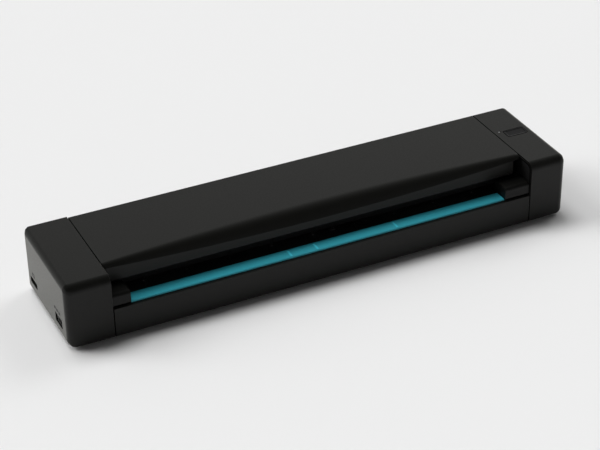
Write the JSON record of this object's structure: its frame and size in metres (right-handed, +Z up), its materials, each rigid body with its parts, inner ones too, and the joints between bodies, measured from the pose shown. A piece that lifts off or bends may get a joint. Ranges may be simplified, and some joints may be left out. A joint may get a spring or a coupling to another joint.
{
  "type": "portable sheet-fed scanner",
  "caption": "Slim portable sheet-fed scanner with a hinged cover, a feed slot, geared drive rollers, facing image sensors, a scan button and two end sockets.",
  "frame": {"origin": "under the middle of the body, on the surface that the feet stand on", "axes": "+X along the length towards the end with the button, +Y the way a sheet travels, +Z up"},
  "size_m": [0.295, 0.0654, 0.0377],
  "materials": {
    "black_plastic": "satin black",
    "dark_plastic": "matte black",
    "teal_plastic": "satin blue-green",
    "white_plastic": "natural white",
    "rubber": "matte",
    "steel": "bright",
    "spring_steel": "rolled",
    "brass": "turned",
    "glass": "clear",
    "board": "green solder mask",
    "light_pipe": "frosted clear"
  },
  "bodies": {
    "base": {"base_tray": "black_plastic", "left_end_cap": "black_plastic", "right_end_cap": "black_plastic", "left_side_frame": "dark_plastic", "right_side_frame": "dark_plastic", "platen_deck": "dark_plastic", "lower_sheet_guide": "teal_plastic", "left_guide_block": "black_plastic", "right_guide_block": "black_plastic", "lower_glass": "glass", "lower_image_sensor": "dark_plastic", "front_bush_left": "brass", "front_bush_right": "brass", "rear_bush_left": "brass", "rear_bush_right": "brass", "left_hinge_pin": "steel", "right_hinge_pin": "steel", "idler_pin": "steel", "reduction_pin": "steel", "gear_bracket": "steel", "motor": "steel", "main_board": "board", "usb_socket": "steel", "card_socket": "steel", "sensor_ribbon": "white_plastic", "button_board": "board", "tact_switch": "dark_plastic", "light_pipe": "light_pipe", "flag_pin": "steel", "foot_front_left": "rubber", "foot_rear_left": "rubber", "foot_front_right": "rubber", "foot_rear_right": "rubber", "cap_screw_front_left": "steel", "cap_screw_rear_left": "steel", "cap_screw_front_right": "steel", "cap_screw_rear_right": "steel"},
    "cover": {"top_cover": "black_plastic", "upper_guide": "dark_plastic", "upper_glass": "glass", "upper_image_sensor": "dark_plastic", "front_pinch_spring": "spring_steel", "rear_pinch_spring": "spring_steel", "sensor_spring_left": "spring_steel", "sensor_spring_right": "spring_steel"},
    "front_pinch": {"front_pinch_roller": "white_plastic"},
    "rear_pinch": {"rear_pinch_roller": "white_plastic"},
    "rear_drive": {"rear_drive_shaft": "steel", "rear_drive_roller_left": "rubber", "rear_drive_roller_right": "rubber", "rear_drive_gear": "white_plastic"},
    "front_drive": {"front_drive_shaft": "steel", "front_drive_roller_left": "rubber", "front_drive_roller_right": "rubber", "front_drive_gear": "white_plastic"},
    "idler": {"idler_gear": "white_plastic"},
    "reduction": {"reduction_gear": "white_plastic"},
    "pinion": {"motor_pinion": "brass"},
    "button": {"scan_button": "black_plastic"},
    "flag": {"paper_flag": "dark_plastic"}
  },
  "joints": [
    {"name": "cover_hinge", "type": "hinge", "parent": "base", "child": "cover", "pos_m": [0.0011, 0.027, 0.0275], "axis": [-1, 0, 0], "range_deg": [0, 75]},
    {"name": "rear_drive_spin", "type": "hinge", "parent": "base", "child": "rear_drive", "pos_m": [-0.0015, 0.0145, 0.0146], "axis": [1, 0, 0], "continuous": true},
    {"name": "front_drive_spin", "type": "hinge", "parent": "base", "child": "front_drive", "pos_m": [-0.0015, -0.0095, 0.0146], "axis": [1, 0, 0], "continuous": true},
    {"name": "idler_spin", "type": "hinge", "parent": "base", "child": "idler", "pos_m": [0.1304, 0.0025, 0.0146], "axis": [1, 0, 0], "continuous": true},
    {"name": "reduction_spin", "type": "hinge", "parent": "base", "child": "reduction", "pos_m": [0.1304, 0.02111, 0.01994], "axis": [1, 0, 0], "continuous": true},
    {"name": "pinion_spin", "type": "hinge", "parent": "base", "child": "pinion", "pos_m": [0.134, 0.0241, 0.0104], "axis": [1, 0, 0], "continuous": true},
    {"name": "front_pinch_spin", "type": "hinge", "parent": "cover", "child": "front_pinch", "pos_m": [-0.0015, -0.0095, 0.0241], "axis": [1, 0, 0], "continuous": true},
    {"name": "rear_pinch_spin", "type": "hinge", "parent": "cover", "child": "rear_pinch", "pos_m": [-0.0015, 0.0145, 0.0241], "axis": [1, 0, 0], "continuous": true},
    {"name": "button_press", "type": "slide", "parent": "base", "child": "button", "axis": [0, 0, -1], "range_m": [0, 0.0005], "stiffness_N_per_m": 1000, "springref_m": -0.001},
    {"name": "flag_swing", "type": "hinge", "parent": "base", "child": "flag", "pos_m": [0.01, -0.016, 0.0155], "axis": [-1, 0, 0], "range_deg": [0, 40], "stiffness_Nm_per_rad": 0.0001}
  ],
  "couplings": [
    {"joint": "front_drive_spin", "follows": "rear_drive_spin", "ratio": 1},
    {"joint": "idler_spin", "follows": "rear_drive_spin", "ratio": -0.84615},
    {"joint": "reduction_spin", "follows": "rear_drive_spin", "ratio": -1.8333},
    {"joint": "pinion_spin", "follows": "rear_drive_spin", "ratio": 5.5},
    {"joint": "front_pinch_spin", "follows": "rear_drive_spin", "ratio": -1.0909},
    {"joint": "rear_pinch_spin", "follows": "rear_drive_spin", "ratio": -1.0909}
  ]
}
